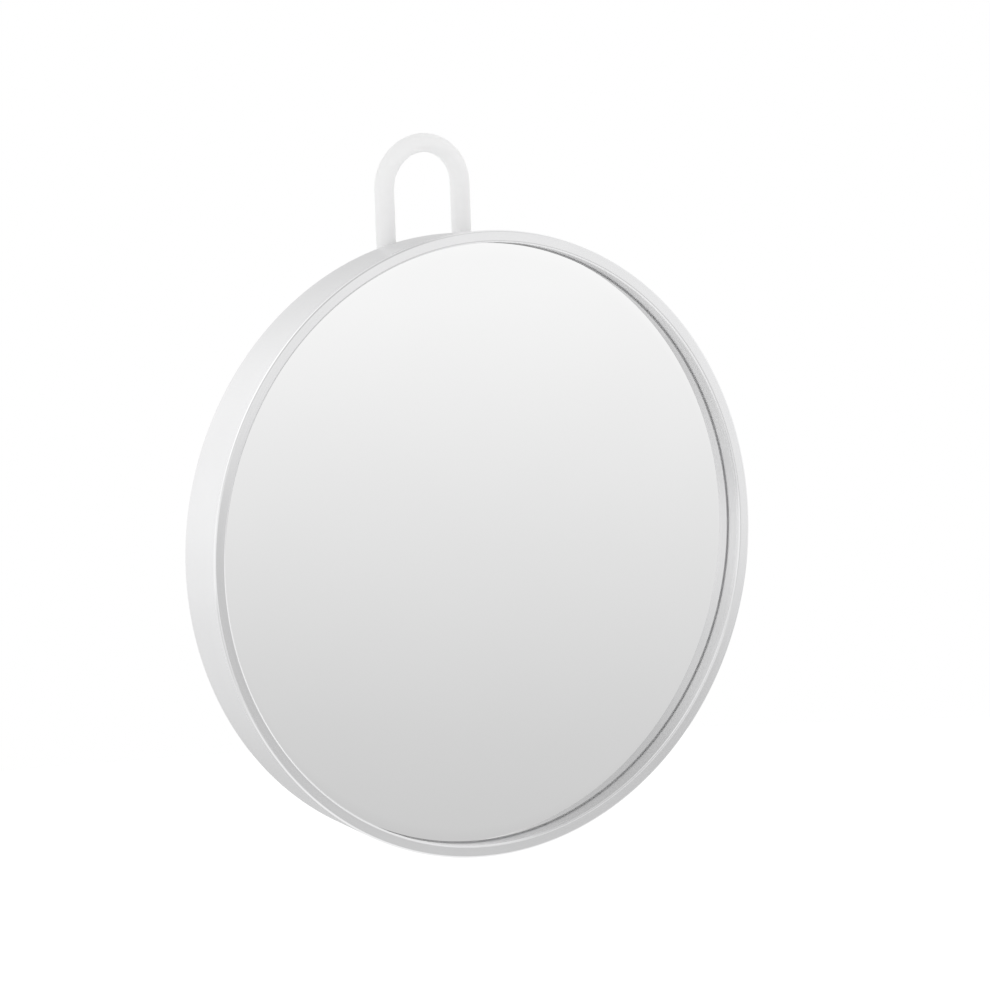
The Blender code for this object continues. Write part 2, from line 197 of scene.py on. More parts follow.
def turned(name, outline, steps, centre=(0, 0)):
    """A closed outline of (radius, depth) turned into a solid."""
    return grid_mesh(name, lathe_grid(outline, steps), centre)


# %% [markdown]
# ## A small kit for finishes
#
# Every finish is a tree of nodes with one Principled shader. The patterns are noises in the object's own
# coordinates, so they stay on the piece when it moves. On a lathe-turned piece the marks run round
# the axis: there the noise is read at (radius, depth), which is the same all the way round.


# %% Nodes by name
def add_node(tree, kind, settings=None, **inputs):
    """A shader node with its settings, and its inputs set to a value or linked from a socket."""
    made = tree.nodes.new("ShaderNode" + kind)
    for key, value in (settings or {}).items():
        setattr(made, key, value)
    for key, value in inputs.items():
        socket = made.inputs[int(key[1:])] if key[0] == "_" else made.inputs[key.replace("_", " ")]
        if isinstance(value, bpy.types.NodeSocket):
            tree.links.new(value, socket)
        else:
            socket.default_value = value
    return made


def calculated(tree, operation, *values):
    """The result of a Math node for values or sockets."""
    given = {f"_{number}": value for number, value in enumerate(values)}
    return add_node(tree, "Math", {"operation": operation}, **given).outputs[0]


def mixed_colour(tree, blend, first, second, share=1.0):
    """The second colour laid over the first in a blend mode, by a share."""
    settings = {"data_type": "RGBA", "blend_type": blend}
    return add_node(tree, "Mix", settings, _0=share, _6=first, _7=second).outputs[2]


def start_finish(name, colour, roughness, metallic=0.0, **constants):
    """A material with a Principled shader whose plain values are set on its own sockets."""
    made = bpy.data.materials.new(name)
    made.use_nodes = True
    tree = made.node_tree
    shader = tree.nodes["Principled BSDF"]
    shader.inputs["Base Color"].default_value = (*colour, 1)
    shader.inputs["Roughness"].default_value = roughness
    shader.inputs["Metallic"].default_value = metallic
    for key, value in constants.items():
        shader.inputs[key.replace("_", " ")].default_value = value
    made.diffuse_color = (*colour, 1)
    print("finish", name, "colour", colour, "roughness", roughness)
    return made, tree, shader


# %% [markdown]
# ## Patterns for the finishes
#
# A real surface is never one flat value. Each finish below takes a noise at the size of its own marks
# and lets it move the colour, the gloss or the surface a little. A painted image could hold the same
# marks, but a noise needs no file, has no seams and can be looked at from as near as one likes.


# %% Coordinates and noises
def object_point(tree, centre=(0, 0, 0)):
    """Object coordinates in millimetres from a centre that is given in metres."""
    point = add_node(tree, "TexCoord").outputs["Object"]
    place = tuple(-value / mm for value in centre)
    return add_node(tree, "Mapping", _0=point, Location=place, Scale=(1 / mm,) * 3).outputs[0]


def lathe_point(tree, point):
    """(radius plus depth, cosine and sine of the turn): marks made from it run round the axis."""
    split = add_node(tree, "SeparateXYZ", _0=point).outputs
    flat = add_node(tree, "CombineXYZ", X=split["X"], Z=split["Z"]).outputs[0]
    radius = add_node(tree, "VectorMath", {"operation": "LENGTH"}, _0=flat).outputs["Value"]
    across = calculated(tree, "ADD", radius, split["Y"])
    unit = add_node(tree, "VectorMath", {"operation": "NORMALIZE"}, _0=flat).outputs[0]
    around = add_node(tree, "SeparateXYZ", _0=unit).outputs
    return add_node(tree, "CombineXYZ", X=across, Y=around["X"], Z=around["Z"]).outputs[0]


def noise(tree, point, scale, detail=2.0, stretch=None):
    """Noise from 0 to 1 at so many cells to the millimetre, stretched by a factor for each axis."""
    if stretch:
        point = add_node(tree, "Mapping", _0=point, Scale=stretch).outputs[0]
    return add_node(tree, "TexNoise", Vector=point, Scale=scale, Detail=detail, Roughness=0.55).outputs[0]


def ranged(tree, value, low, high, start=0.3, end=0.7):
    """A value between start and end brought to between low and high."""
    given = {"_0": value, "From_Min": start, "From_Max": end, "To_Min": low, "To_Max": high}
    return add_node(tree, "MapRange", **given).outputs[0]


# %% [markdown]
# ## What a pattern does to a surface
#
# A pattern can do three things here. It tints the colour by a small share, it changes the roughness
# between two values, and it raises the surface by a depth in millimetres. Such fine marks could be
# real geometry too, but they are far smaller than a face of the mesh, so the shader makes them.


# %% Tint, roughness and bumps
def tint(tree, shader, colour, value, spread):
    """Base colour that is a share lighter and darker where a noise is high and low."""
    dark = tuple(channel * (1 - spread) for channel in colour)
    light = tuple(min(1, channel * (1 + spread)) for channel in colour)
    mix = mixed_colour(tree, "MIX", (*dark, 1), (*light, 1), ranged(tree, value, 0, 1))
    tree.links.new(mix, shader.inputs["Base Color"])


def roughen(tree, shader, value, low, high):
    """Roughness between low and high, as a noise goes."""
    tree.links.new(ranged(tree, value, low, high), shader.inputs["Roughness"])


def bump(tree, shader, *heights):
    """Bumps one on the other: each height is (value, depth in millimetres)."""
    normal = None
    for value, depth in heights:
        given = {"Height": value, "Distance": depth * mm, "Strength": 1.0}
        if normal:
            given["Normal"] = normal
        normal = add_node(tree, "Bump", **given).outputs[0]
    tree.links.new(normal, shader.inputs["Normal"])


# %% [markdown]
# ## The metal of the ring
#
# The frame is aluminium turned on a lathe and finished satin. Turning leaves faint circular marks,
# and the front is faced with a finer cut than the walls, so it is smoother. One finish does both: its
# roughness goes from the finer to the coarser value within the first millimetre behind the front.

# %% Satin turned aluminium
satin_colour = (0.79, 0.79, 0.795)
land_end, wall_start = 0.25, 0.9
satin_metal, tree, shader = start_finish("satin_turned_aluminium", satin_colour, 0.21, 1.0)
point = object_point(tree, axis_point)
turning_marks = noise(tree, lathe_point(tree, point), 3.2, 3, (1, 0.35, 0.35))
fine_grain = noise(tree, point, 9.0, 2)
clouds = noise(tree, point, 0.09, 3)
tint(tree, shader, satin_colour, clouds, 0.012)
satin = ranged(tree, turning_marks, 0.3, 0.36)
faced = ranged(tree, turning_marks, 0.13, 0.18)
depth = add_node(tree, "SeparateXYZ", _0=point).outputs["Y"]
land = ranged(tree, depth, 1, 0, land_end, wall_start)
rough = add_node(tree, "Mix", {"data_type": "FLOAT"}, _0=land, _2=satin, _3=faced).outputs[0]
tree.links.new(rough, shader.inputs["Roughness"])
bump(tree, shader, (turning_marks, 0.0012), (fine_grain, 0.0003))

# %% [markdown]
# ## The ring
#
# Its side wall narrows a little towards the back. In front it is a flat land less than two
# millimetres wide, with a rounded outer edge that draws a bright line round the mirror, and a rounding
# of about the same size where it drops to the glass. The same outline as in the CAD is turned again
# here, with many more steps and with nine points on the arc of each rounding, because those two thin
# highlights are most of what the eye sees of the frame.

# %% The ring
rim_radius, bore_radius = 45.0, 43.2
rear_radius, rear_bore_radius, web_inner_radius = 44.0, 42.8, 36.0
seat_gap, web_thickness, ring_steps = 0.3, 1.0, 384
front_fillet, bore_fillet, web_fillet = 0.28, 0.3, 0.12
frame_depth = node_reach("frame_ring")[1][1]
web_back = node_reach("back_cover")[0][1] - seat_gap
web_front = web_back - web_thickness
ring_outline = rounded_profile(
    [
        (rim_radius, 0, front_fillet),
        (rear_radius, frame_depth, 0.3),
        (rear_bore_radius, frame_depth, 0.3),
        (rear_bore_radius, web_back, web_fillet),
        (web_inner_radius, web_back, web_fillet),
        (web_inner_radius, web_front, web_fillet),
        (bore_radius, web_front, web_fillet),
        (bore_radius, 0, bore_fillet),
    ]
)
ring = show("frame_ring_fine", turned("frame_ring_fine", ring_outline, ring_steps), satin_metal)
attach(ring, "mirror")
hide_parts("frame_ring")
print("frame depth", round(frame_depth, 3), "mm")

# %% [markdown]
# ## Silver and paint
#
# A looking glass is silvered, and the silver is covered with a grey paint. Here the silver is the
# front of the glass, as on a surface mirror, because a clear sheet over it would double every edge
# that it shows. The gloss wavers very slightly, as a polished surface does.

# %% Silvered front, ground edge and painted back
silver_colour = (0.905, 0.905, 0.905)
silvered, tree, shader = start_finish("silvered_concave_glass", silver_colour, 0.012, 1.0)
point = object_point(tree, axis_point)
roughen(tree, shader, noise(tree, point, 0.16, 4), 0.008, 0.02)
tint(tree, shader, silver_colour, noise(tree, point, 0.05, 2), 0.004)

backing_colour = (0.4, 0.4, 0.4)
backing, tree, shader = start_finish("grey_backing_paint", backing_colour, 0.6)
point = object_point(tree, axis_point)
tint(tree, shader, backing_colour, noise(tree, point, 0.4, 3), 0.08)
bump(tree, shader, (noise(tree, point, 2.5, 3), 0.01))

# %% [markdown]
# ## The concave glass
#
# A magnifying mirror is a shallow bowl. Here its radius is 750 mm, so its middle lies 1.2 mm deeper
# than its edge, and a face held close to it is seen about three times as large as from far away. The
# front face is a plain sphere's cap, and its smooth shading bends the reflection just as the real
# glass does. The edge is ground, with a small chamfer on both sides. It reaches a little further
# out than its solid, which keeps a wide gap round it: on the real mirror that gap is a thin line.

# %% The glass
glass_recess, glass_thickness, glass_bevel, bowl_radius = 2.95, 1.5, 0.06, 750.0
narrower_gap, bowl_rows, disc_steps = 0.15, 25, 256
glass_radius = node_reach("mirror_glass")[1][0] + narrower_gap


def glass_depth(radius):
    """Depth of the glass's front: the bowl's own depth at a radius, less its depth at the edge."""
    edge = math.sqrt(bowl_radius**2 - glass_radius**2)
    return glass_recess + np.sqrt(bowl_radius**2 - np.asarray(radius, float) ** 2) - edge


face = np.linspace(0, glass_radius - glass_bevel, bowl_rows)
front_face = np.stack([face, glass_depth(face)], -1)
back_face = front_face[::-1] + (0, glass_thickness)
edge_front = (glass_radius, float(glass_depth(glass_radius)) + glass_bevel)
edge_back = (glass_radius, float(glass_depth(glass_radius)) + glass_thickness - glass_bevel)
glass_outline = np.concatenate([front_face, [edge_front, edge_back], back_face])
glass_mesh = turned("mirror_glass_fine", glass_outline, disc_steps)
glass = show("mirror_glass_fine", glass_mesh, silvered, backing)
normals = np.zeros(len(glass.data.polygons) * 3)
glass.data.polygons.foreach_get("normal", normals)
painted = normals.reshape(-1, 3)[:, 1] > -0.9  # every face that does not look forwards
glass.data.polygons.foreach_set("material_index", painted.astype(np.int32))
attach(glass, "mirror")
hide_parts("mirror_glass")
print("bowl depth", round(float(glass_depth(0) - glass_recess), 3), "mm")

# %% [markdown]
# ## The dark line between glass and metal
#
# The glass is bedded on a rubber gasket. A lip of the gasket rises in the narrow gap between the
# glass and the metal and ends just behind the face of the glass. Seen from the side, this is the thin
# dark line that runs round inside the rim. Below the glass the gasket follows its back, so its front
# is the glass's own curve moved back.

# %% Rubber gasket
rubber_colour = (0.64, 0.64, 0.645)
rubber, tree, shader = start_finish("gasket_rubber", rubber_colour, 0.7)
point = object_point(tree, axis_point)
tint(tree, shader, rubber_colour, noise(tree, point, 1.2, 3), 0.06)
bump(tree, shader, (noise(tree, point, 6.0, 3), 0.008))
gasket_width, lip_play, lip_drop, lip_fillet = 1.7, 0.02, 0.05, 0.03
gasket_outer, gasket_back = node_reach("glass_gasket")[1][:2]
gasket_inner = gasket_outer - gasket_width
lip_inner, lip_outer = glass_radius + lip_play, bore_radius - lip_play
lip_front = glass_recess + lip_drop
lip = rounded_profile(
    [
        (lip_inner, gasket_back, 0),
        (lip_inner, lip_front, lip_fillet),
        (lip_outer, lip_front, lip_fillet),
        (lip_outer, gasket_back, 0),
    ]
)[1:-1]
gasket_radii = np.linspace(gasket_inner, glass_radius, 7)
gasket_front = glass_depth(gasket_radii) + glass_thickness + seat_gap
foot = gasket_front[-1]
heel = [(lip_outer, foot + 0.2), (gasket_outer, foot + 0.4), (gasket_outer, gasket_back)]
bed = np.stack([gasket_radii, gasket_front], -1)
gasket_outline = np.concatenate([bed, [(lip_inner, foot)], lip, heel, [(gasket_inner, gasket_back)]])
gasket = show("glass_gasket_fine", turned("glass_gasket_fine", gasket_outline, disc_steps), rubber)
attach(gasket, "mirror")
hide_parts("glass_gasket")

# %% [markdown]
# ## The metal of the back
#
# The back is closed by a disc of spun aluminium. It is rougher than the ring, and the marks of the
# spinning are stronger and closer together, so the same lathe pattern is used with other numbers.

# %% Spun cover finish
cover_colour = (0.72, 0.72, 0.725)
spun_metal, tree, shader = start_finish("spun_cover_aluminium", cover_colour, 0.4, 1.0)
point = object_point(tree, axis_point)
spun_rings = noise(tree, lathe_point(tree, point), 2.2, 4, (1, 0.25, 0.25))
tint(tree, shader, cover_colour, spun_rings, 0.03)
roughen(tree, shader, spun_rings, 0.34, 0.46)
bump(tree, shader, (spun_rings, 0.004), (noise(tree, point, 7.0, 2), 0.001))

# %% [markdown]
# ## The back cover
#
# The cover is a flat disc with a shallow pressed panel, which stiffens the thin sheet. It is turned
# like the ring. Its edge is rounded by different amounts in front and behind, as a stamped edge is.

# %% The cover
cover_low, cover_high = node_reach("back_cover")
cover_front, cover_back, cover_radius = cover_low[1], cover_high[1], cover_high[0]
panel_radius, panel_slope, panel_depth = 26.0, 1.0, 0.35
cover_outline = rounded_profile(
    [
        (0, cover_front, 0),
        (cover_radius, cover_front, 0.15),
        (cover_radius, cover_back, 0.4),
        (panel_radius + panel_slope, cover_back, 0.5),
        (panel_radius, cover_back - panel_depth, 0.5),
        (0, cover_back - panel_depth, 0),
    ]
)
cover = show("back_cover_fine", turned("back_cover_fine", cover_outline, disc_steps), spun_metal)

# %% [markdown]
# ## Holes in the cover
#
# Four screws and the two ends of the cord go through the cover. The screw holes are countersunk with
# a conical cutter on the real part. Here each cutter is a turned solid of that shape, and a Boolean
# modifier takes it out of the fine mesh. The holes lie on the flat land, clear of every rounding, so
# the shading stays clean.


# %% Six holes
def cut(piece, outline, centre, steps=64):
    """Takes a turned cutter out of a piece, and keeps the result as the piece's own mesh."""
    cutter = show("cutter", turned("cutter", outline, steps, centre))
    change = piece.modifiers.new("cut", "BOOLEAN")
    change.operation, change.solver, change.object = "DIFFERENCE", "EXACT", cutter
    graph = bpy.context.evaluated_depsgraph_get()
    result = bpy.data.meshes.new_from_object(piece.evaluated_get(graph))
    piece.modifiers.clear()
    piece.data = result
    bpy.data.objects.remove(cutter, do_unlink=True)


def polar(radius, degrees):
    """(x, height) of a point at a radius and an angle."""
    return (radius * math.cos(math.radians(degrees)), radius * math.sin(math.radians(degrees)))


screw_circle, screw_turns = 31.0, (45, 135, 225, 315)
screw_head, screw_shank, neck_radius, hole_play = 1.9, 1.0, 1.15, 0.3
cut_past = 2
washer_low, washer_high = node_reach("loop_washer_right")
strand_offset, _, anchor_height = (washer_low + washer_high) / 2
cut_front, cut_back = cover_front - cut_past, cover_back + cut_past
sink_top = screw_head + hole_play * math.sqrt(2)
shank_hole = screw_shank + hole_play
sink_outline = [
    (0, cut_front),
    (shank_hole, cut_front),
    (shank_hole, cover_back - (sink_top - shank_hole)),
    (sink_top + cut_past, cut_back),
    (0, cut_back),
]
cord_hole = neck_radius + hole_play
cord_outline = [(0, cut_front), (cord_hole, cut_front), (cord_hole, cut_back), (0, cut_back)]
for degrees in screw_turns:
    cut(cover, sink_outline, polar(screw_circle, degrees))
for side in (-1, 1):
    cut(cover, cord_outline, (side * strand_offset, anchor_height))
cover.data.set_sharp_from_angle(angle=math.radians(30))
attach(cover, "mirror")
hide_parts("back_cover")
print("cover", len(cover.data.polygons), "faces after its six holes")

# %% [markdown]
# ## The steel of the screws
#
# Small screws are bright steel, a little darker than aluminium and with fine marks in all directions,
# so a plain noise without a lathe pattern is enough.

# %% Bright turned steel
steel_colour = (0.6, 0.6, 0.605)
screw_steel, tree, shader = start_finish("bright_screw_steel", steel_colour, 0.28, 1.0)
point = object_point(tree, axis_point)
steel_marks = noise(tree, point, 5.0, 3)
tint(tree, shader, steel_colour, steel_marks, 0.04)
roughen(tree, shader, steel_marks, 0.24, 0.34)
bump(tree, shader, (steel_marks, 0.003))

# %% [markdown]
# ## The screws
#
# Four short countersunk screws hold the cover. A cross recess could be cut with another Boolean, but
# its rims would be razor sharp. Here the head is a height field: each point of the turned grid is
# sunk by a depth that depends on how far inside a cross it lies, with a soft step at the cross's
# edge, so that the rim of the recess is slightly rounded, as on a pressed screw.


# %% The screws
def cross_recess(x, height, arm=1.1, half_width=0.27, depth=0.45, soft=0.12):
    """Depth of the recess: full inside a cross, and a smooth step over a soft band at its edge.

    The distance to the cross is the smaller one of the distances to its two bars.
    """
    across = np.maximum(np.abs(x) - arm, np.abs(height) - half_width)
    upright = np.maximum(np.abs(height) - arm, np.abs(x) - half_width)
    share = np.clip(0.5 - np.minimum(across, upright) / soft, 0, 1)
    return depth * share * share * (3 - 2 * share)


screw_length, tip_chamfer, head_chamfer = 3.0, 0.4, 0.06
screw_tip = cover_back - screw_length
head_rows = np.linspace(screw_head - head_chamfer, 0, 40)
screw_outline = np.concatenate(
    [
        [(0, screw_tip), (screw_shank - tip_chamfer, screw_tip), (screw_shank, screw_tip + tip_chamfer)],
        [(screw_shank, cover_back - (screw_head - screw_shank)), (screw_head, cover_back - head_chamfer)],
        np.stack([head_rows, np.full(len(head_rows), cover_back)], -1),
    ]
)
screw_grid = lathe_grid(screw_outline, 120)
head = screw_grid[-len(head_rows) :]
head[..., 1] -= cross_recess(head[..., 0], head[..., 2])
for index, degrees in enumerate(screw_turns, 1):
    name = f"cover_screw_{index}"
    screw = show(name + "_fine", grid_mesh(name, screw_grid, polar(screw_circle, degrees)), screw_steel)
    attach(screw, "mirror")
    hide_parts(name)

# %% [markdown]
# ## The wall pads
#
# Three soft pads keep the metal and the cord off the wall. They are moulded of clear silicone with
# a slight draft, which is the taper that lets a moulded part leave its mould. Some light enters
# silicone and comes out again near by, which is what the subsurface values stand for.

# %% Pad silicone and pads
pad_colour = (0.8, 0.8, 0.8)
even_radius = (1, 1, 1)
soft_pad, tree, shader = start_finish(
    "pad_silicone",
    pad_colour,
    0.42,
    IOR=1.41,
    Subsurface_Weight=0.35,
    Subsurface_Scale=0.002,
    Subsurface_Radius=even_radius,
)
point = object_point(tree, axis_point)
tint(tree, shader, pad_colour, noise(tree, point, 0.8, 3), 0.03)
bump(tree, shader, (noise(tree, point, 5.0, 2), 0.004))
pad_radius, pad_draft, pad_inset = 4.2, 0.7, 9.5
pad_circle = cover_radius - pad_inset
pad_front, pad_back = cover_back + seat_gap, node_reach("wall_pad_left")[1][1]
pad_outline = rounded_profile(
    [
        (0, pad_front, 0),
        (pad_radius, pad_front, 0.15),
        (pad_radius - pad_draft, pad_back, 0.5),
        (0, pad_back, 0),
    ]
)
for side, degrees in (("left", 150), ("right", 30), ("bottom", 270)):
    name = f"wall_pad_{side}"
    pad = show(name + "_fine", turned(name, pad_outline, 96, polar(pad_circle, degrees)), soft_pad)
    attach(pad, "mirror")
    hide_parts(name)

# %% [markdown]
# ## The silicone of the loop
#
# The cord is the same silicone with more white in it, so it is milky and nearly white. It scatters
# light deeper inside than the pads do, and its skin is dull, so it hardly mirrors anything. Real
# transmission could be used too, but it makes so thin a cord dark where nothing bright is behind it.

# %% Milky silicone
milky_colour = (0.93, 0.93, 0.93)
milky_silicone, tree, shader = start_finish(
    "milky_silicone",
    milky_colour,
    0.46,
    IOR=1.41,
    Specular_IOR_Level=0.12,
    Subsurface_Weight=0.8,
    Subsurface_Scale=0.003,
    Subsurface_Radius=even_radius,
)
point = object_point(tree)
tint(tree, shader, milky_colour, noise(tree, point, 0.5, 3), 0.012)
roughen(tree, shader, noise(tree, point, 1.5, 3), 0.42, 0.52)
bump(tree, shader, (noise(tree, point, 4.0, 3), 0.006))

# %% [markdown]
# ## The silicone loop
#
# The loop is one length of oval silicone cord. Each end passes through the cover with a moulded
# collar outside and a locking head inside. So the whole cord is one profile carried along one path:
# head, neck and collar are only places where the section is wider or narrower. Above the frame the
# cord leans a little forward, because a soft cord takes a set.

# %% Measures of the cord, and its moulded end
cord_width, cord_depth = 2.7, 3.2
half_width, half_depth = cord_width / 2, cord_depth / 2
head_radius, head_thickness = 2.3, 1.3
collar_radius, collar_thickness, shoulder = 2.2, 0.6, 0.15
head_front = node_reach("loop_anchor_left")[0][1]
head_back = head_front + head_thickness
collar_front = cover_back + seat_gap
collar_back = collar_front + collar_thickness
loop_plane = -front_y / mm
arc_height = node_reach("hanging_loop")[1][2] - strand_offset - half_width
elbow_radius = loop_plane - collar_back
plug = rounded_profile(
    [
        (0, head_front, 0),
        (head_radius, head_front, 0.6),
        (head_radius, head_back, 0.12),
        (neck_radius, head_back, 0.1),
        (neck_radius, collar_front, 0.1),
        (collar_radius, collar_front, 0.12),
        (collar_radius, collar_back, 0.2),
        (half_width + shoulder, collar_back, 0),
    ]
)
print("arc at height", round(arc_height, 2), "elbow radius", round(elbow_radius, 2), "mm")

# %% [markdown]
# ## The path of the cord
#
# A tube is a row of rings, each with a centre, two axes and two half sizes. Only half of the cord is
# worked out, from one head to the top of the arc, and its mirror image makes the rest. A curve object
# with a bevel could do it too, but its section can't go from round in the neck to oval in the strand.

# %% The cord's path and its section
lean_degrees, lean_below_top = 2.2, 3
lean = math.tan(math.radians(lean_degrees))
lean_start = node_reach("frame_ring")[1][2] - lean_below_top
elbow_rows, strand_rows, arc_rows = 16, 32, 28


def leaned(centres, ease=4.0):
    """The soft cord's centres, bent a little forward above a height: a parabola that turns into a line."""
    above = np.clip(centres[:, 2] - lean_start, 0, None)
    shift = np.where(above < ease, above**2 / (2 * ease), above - ease / 2) * lean
    return centres - np.stack([0 * shift, shift, 0 * shift], -1)


def half_cord():
    """Centres, width axes, depth axes and half sizes of the section, from one head to the top of the arc.

    Straight through the cover, then an elbow that turns up, a straight strand and a quarter circle.
    """
    turn = np.linspace(0, math.pi / 2, elbow_rows + 1)[1:]
    strand = np.linspace(anchor_height + elbow_radius, arc_height, strand_rows + 1)[1:]
    swing = np.linspace(math.pi, math.pi / 2, arc_rows + 1)[1:]
    past_elbow = strand_rows + arc_rows
    below_arc = len(plug) + elbow_rows + strand_rows
    x = np.concatenate([np.full(below_arc, -strand_offset), strand_offset * np.cos(swing)])
    outwards = collar_back + elbow_radius * np.sin(turn)
    depth = np.concatenate([plug[:, 1], outwards, np.full(past_elbow, loop_plane)])
    rise = anchor_height + elbow_radius * (1 - np.cos(turn))
    arc = arc_height + strand_offset * np.sin(swing)
    height = np.concatenate([np.full(len(plug), anchor_height), rise, strand, arc])
    centres = np.stack([x, depth, height], -1)
    upright = np.concatenate([np.zeros(len(plug)), turn, np.full(past_elbow, math.pi / 2)])
    depth_axis = np.stack([0 * upright, np.sin(upright), -np.cos(upright)], -1)
    inward = np.concatenate([np.full(below_arc, math.pi), swing])
    width_axis = np.stack([-np.cos(inward), 0 * inward, -np.sin(inward)], -1)
    wide = np.concatenate([plug[:, 0], np.full(elbow_rows + past_elbow, half_width)])
    deep = np.concatenate([plug[:, 0], np.full(elbow_rows + past_elbow, half_depth)])
    return centres, width_axis, depth_axis, wide, deep


def mirrored(values, axis_flip):
    """The half's values followed by their mirror image in x, without the middle one twice."""
    return np.concatenate([values, (values * axis_flip)[-2::-1]])


def cord_grid(sides=40):
    """Rings of the tube: centre, plus width axis times cosine, less depth axis times sine."""
    centres, width_axis, depth_axis, wide, deep = half_cord()
    centres = leaned(centres)
    flip = np.array([-1, 1, 1])
    centres, width_axis, depth_axis = (mirrored(v, flip) for v in (centres, width_axis, depth_axis))
    wide, deep = mirrored(wide, 1), mirrored(deep, 1)
    turn = (np.arange(sides) * 2 * math.pi / sides)[None, :, None]
    across = width_axis[:, None] * wide[:, None, None] * np.cos(turn)
    through = depth_axis[:, None] * deep[:, None, None] * np.sin(turn)
    return centres[:, None] + across - through


# %% [markdown]
# ## One cord
#
# The CAD splits the cord into a free loop and two fixed ends, because it hinges there. Here it is a
# single piece again, and the three CAD pieces are hidden.

# %% The cord
cord = show("hanging_cord", grid_mesh("hanging_cord", cord_grid(), closed=False), milky_silicone)
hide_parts("hanging_loop", "loop_anchor_left", "loop_anchor_right")
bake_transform(cord)

# %% [markdown]
# ## What is hidden inside
#
# The foam tape, the moulded tray and the two washers are closed in by the glass and the cover. Their
# CAD shapes are right as they are and keep their meshes. They still get their real finishes, so that
# the mirror can be taken apart in a picture.

# %% Finishes of the inner pieces
foam_colour = (0.7, 0.7, 0.7)
foam, tree, shader = start_finish("closed_cell_foam", foam_colour, 0.9)
point = object_point(tree, axis_point)
cells = add_node(tree, "TexVoronoi", Vector=point, Scale=3.0).outputs["Distance"]
tint(tree, shader, foam_colour, cells, 0.06)
bump(tree, shader, (cells, 0.05))

tray_colour = (0.62, 0.62, 0.62)
moulded, tree, shader = start_finish("moulded_tray_plastic", tray_colour, 0.52)
point = object_point(tree, axis_point)
tint(tree, shader, tray_colour, noise(tree, point, 0.1, 2), 0.02)
bump(tree, shader, (noise(tree, point, 3.0, 2), 0.02))

inner_finishes = {"foam_tape_ring": foam, "inner_tray": moulded}
inner_finishes |= {"loop_washer_left": screw_steel, "loop_washer_right": screw_steel}
for name, finish in inner_finishes.items():
    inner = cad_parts[name]
    inner.data.materials.clear()
    inner.data.materials.append(finish)
    print(name, "keeps its mesh and gets", finish.name)

# %% [markdown]
# ## The camera
#
# A product picture of a flat object is taken from far away with a long lens, so that the round face
# stays a clean ellipse. The camera stands to the left of the mirror and a little above it. It could be
# aimed with a Track To constraint, but working out its three axes shows what a camera is: a place, a
# direction, and a roll about that direction.


# %% Place and lens
def away_from_mirror(turn, rise):
    """Unit vector out of the front of the mirror, turned to the side and raised by two angles."""
    return np.array([math.sin(turn) * math.cos(rise), -math.cos(turn) * math.cos(rise), math.sin(rise)])


def stand(name, data, right, up, back, place):
    """A camera or lamp in the scene, whose matrix has its three axes and its place as columns."""
    made = bpy.data.objects.new(name, data)
    bpy.context.scene.collection.objects.link(made)
    axes = np.eye(4)
    axes[:3] = np.stack([right, up, back, place], -1)
    made.matrix_world = Matrix(axes.tolist())
    print(name, "at", np.round(place, 4))
    return made


picture_width, focal_pixels, distance = 990, 6312.0, 0.9
azimuth, elevation, roll = np.radians([-31.79, 8.155, -3.173])
disc_pixel = np.array([489.1, 545.2])
disc_centre = np.array(axis_point)
right = np.array([math.cos(azimuth), math.sin(azimuth), 0])
back = away_from_mirror(azimuth, elevation)
up = np.cross(back, right)
rolled_right = math.cos(roll) * right + math.sin(roll) * up
rolled_up = -math.sin(roll) * right + math.cos(roll) * up
offset = (disc_pixel - picture_width / 2) / focal_pixels * distance
place = disc_centre + back * distance - rolled_right * offset[0] + rolled_up * offset[1]
camera_data = bpy.data.cameras.new("studio_camera")
camera_data.sensor_width = 36
camera_data.lens = focal_pixels / picture_width * camera_data.sensor_width
camera_data.clip_start, camera_data.clip_end = 0.01, 20
camera = stand("studio_camera", camera_data, rolled_right, rolled_up, back, place)
bpy.context.scene.camera = camera
print("lens", round(camera_data.lens, 1), "mm")

# %% [markdown]
# ## Soft changes of grey
#
# The studio is made of soft changes from one grey to another. A list of stops goes into a Color Ramp,
# which is easier to read and to tune than a formula.


# %% Grey levels between stops
def ramp(tree, value, stops):
    """Grey levels between stops of (value, level), straight from one to the next."""
    low, high = stops[0][0], stops[-1][0]
    made = add_node(tree, "ValToRGB", _0=ranged(tree, value, 0.0, 1.0, low, high))
    made.color_ramp.elements.remove(made.color_ramp.elements[1])
    for number, (stop_value, level) in enumerate(stops):
        at = (stop_value - low) / (high - low)
        stop = made.color_ramp.elements[0] if number == 0 else made.color_ramp.elements.new(at)
        stop.position = at
        stop.color = (level, level, level, 1)
    return made.outputs[0]


def empty_tree(owner):
    """The node tree of a new world or material, without its first nodes."""
    owner.use_nodes = True
    owner.node_tree.nodes.clear()
    return owner.node_tree


def ray_kinds(tree):
    """The Light Path sockets, and one that is 1 for a ray that metal or glass sends."""
    ray = add_node(tree, "LightPath").outputs
    return ray, calculated(tree, "MAXIMUM", ray["Is Glossy Ray"], ray["Is Transmission Ray"])


# %% [markdown]
# ## The surroundings
#
# A mirror shows the room and not itself, so the room is the finish. Here the surroundings are a plain
# world with three faces: white for the camera, a soft even light for everything that isn't a mirror,
# and for reflections grey levels by the direction they come from. In front and behind there is a
# gradient by height, with a soft brighter patch at each side and above. Panels and flags could be
# built round the mirror instead, but a gradient has no edges that metal would show as lines.

